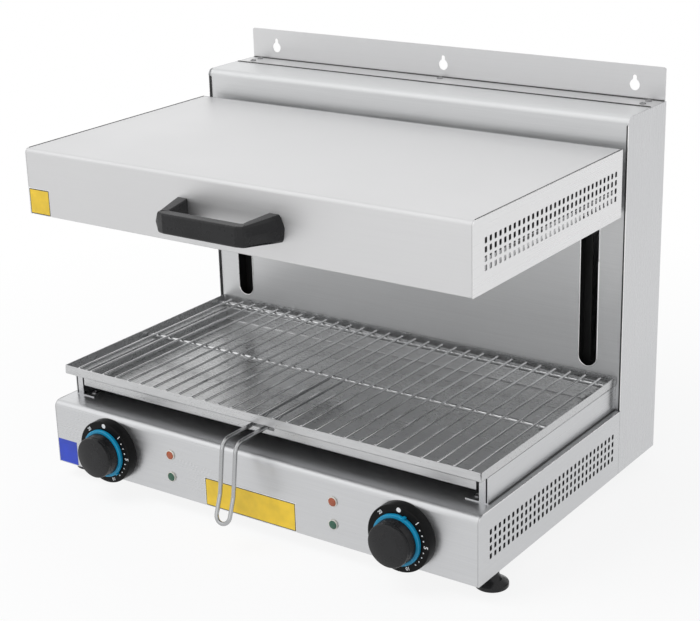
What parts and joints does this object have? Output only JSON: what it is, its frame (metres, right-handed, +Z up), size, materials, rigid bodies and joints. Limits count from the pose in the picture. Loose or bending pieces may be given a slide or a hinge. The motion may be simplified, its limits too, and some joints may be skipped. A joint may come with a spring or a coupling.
{
  "type": "cheese melter",
  "caption": "Electric cheese melter: a steel grill hood slides up and down on a rear column above a drip tray with a wire rack; knobs, dials and lamps sit on the base.",
  "frame": {"origin": "on the standing surface under the middle of the object's bounding box, with the feet screwed home", "axes": "+Z up, front towards -Y, +X to the right as seen from the front; X = 0 is the plane of symmetry"},
  "size_m": [0.617, 0.499, 0.49],
  "materials": {
    "stainless": "brushed",
    "bright_sheet": "satin",
    "wire_chrome": "polished",
    "zinc_sheet": "galvanised",
    "black_paint": "satin",
    "rod_steel": "ground",
    "black_plastic": "satin",
    "pale_plastic": "satin",
    "blue_plastic": "gloss",
    "orange_lens": "gloss",
    "green_lens": "gloss",
    "slide_plastic": "matte",
    "element_sheath": "oxidised"
  },
  "bodies": {
    "casing": {"base_shell": "stainless", "base_side_left": "stainless", "base_side_right": "stainless", "base_bottom_pan": "zinc_sheet", "column_fascia": "stainless", "column_side_left": "stainless", "column_side_right": "stainless", "column_back_panel": "stainless", "wall_bracket": "stainless", "tray_rail_left": "stainless", "tray_rail_right": "stainless", "rail_screws": "wire_chrome", "cover_screws": "wire_chrome", "dial_plates": "black_plastic", "energy_regulators": "pale_plastic", "lamp_bezels": "pale_plastic", "lamp_lenses_orange": "orange_lens", "lamp_lenses_green": "green_lens", "terminal_block": "pale_plastic", "cable_gland": "black_plastic", "slot_channel_left": "black_paint", "slot_channel_right": "black_paint", "guide_rods": "rod_steel", "rod_bracket_lower": "zinc_sheet", "rod_bracket_upper": "zinc_sheet", "lift_spring_left": "rod_steel", "lift_spring_right": "rod_steel"},
    "hood": {"hood_shell": "stainless", "hood_side_left": "stainless", "hood_side_right": "stainless", "hood_back_panel": "stainless", "reflector": "bright_sheet", "heating_element_left": "element_sheath", "heating_element_right": "element_sheath", "element_hangers": "bright_sheet", "lift_arm_left": "zinc_sheet", "lift_arm_right": "zinc_sheet", "carriage_left": "slide_plastic", "carriage_right": "slide_plastic", "carriage_crossbar": "zinc_sheet", "hood_handle": "black_plastic", "handle_screws": "rod_steel"},
    "tray": {"drip_tray": "stainless"},
    "rack": {"wire_rack": "wire_chrome", "rack_handle": "wire_chrome"},
    "knob_left": {"knob_grip_left": "black_plastic", "knob_ring_left": "blue_plastic", "knob_spindle_left": "rod_steel"},
    "knob_right": {"knob_grip_right": "black_plastic", "knob_ring_right": "blue_plastic", "knob_spindle_right": "rod_steel"},
    "foot_front_left": {"foot_front_left": "black_plastic"},
    "foot_front_right": {"foot_front_right": "black_plastic"},
    "foot_rear_left": {"foot_rear_left": "black_plastic"},
    "foot_rear_right": {"foot_rear_right": "black_plastic"}
  },
  "joints": [
    {"name": "hood_slide", "type": "slide", "parent": "casing", "child": "hood", "axis": [0, 0, 1], "range_m": [-0.19, 0.02], "deforming": ["lift_spring_left", "lift_spring_right"]},
    {"name": "tray_slide", "type": "slide", "parent": "casing", "child": "tray", "axis": [0, -1, 0], "range_m": [0, 0.13]},
    {"name": "rack_tilt", "type": "hinge", "parent": "tray", "child": "rack", "pos_m": [0, -0.1675, 0.128], "axis": [1, 0, 0], "range_deg": [0, 15]},
    {"name": "knob_left_turn", "type": "hinge", "parent": "casing", "child": "knob_left", "pos_m": [-0.209, -0.1995, 0.0575], "axis": [0, 1, 0], "range_deg": [-137, 169]},
    {"name": "knob_right_turn", "type": "hinge", "parent": "casing", "child": "knob_right", "pos_m": [0.209, -0.1995, 0.0575], "axis": [0, 1, 0], "range_deg": [-20, 286]},
    {"name": "foot_front_left_screw", "type": "slide", "parent": "casing", "child": "foot_front_left", "axis": [0, 0, -1], "range_m": [0, 0.008]},
    {"name": "foot_front_right_screw", "type": "slide", "parent": "casing", "child": "foot_front_right", "axis": [0, 0, -1], "range_m": [0, 0.008]},
    {"name": "foot_rear_left_screw", "type": "slide", "parent": "casing", "child": "foot_rear_left", "axis": [0, 0, -1], "range_m": [0, 0.008]},
    {"name": "foot_rear_right_screw", "type": "slide", "parent": "casing", "child": "foot_rear_right", "axis": [0, 0, -1], "range_m": [0, 0.008]}
  ]
}
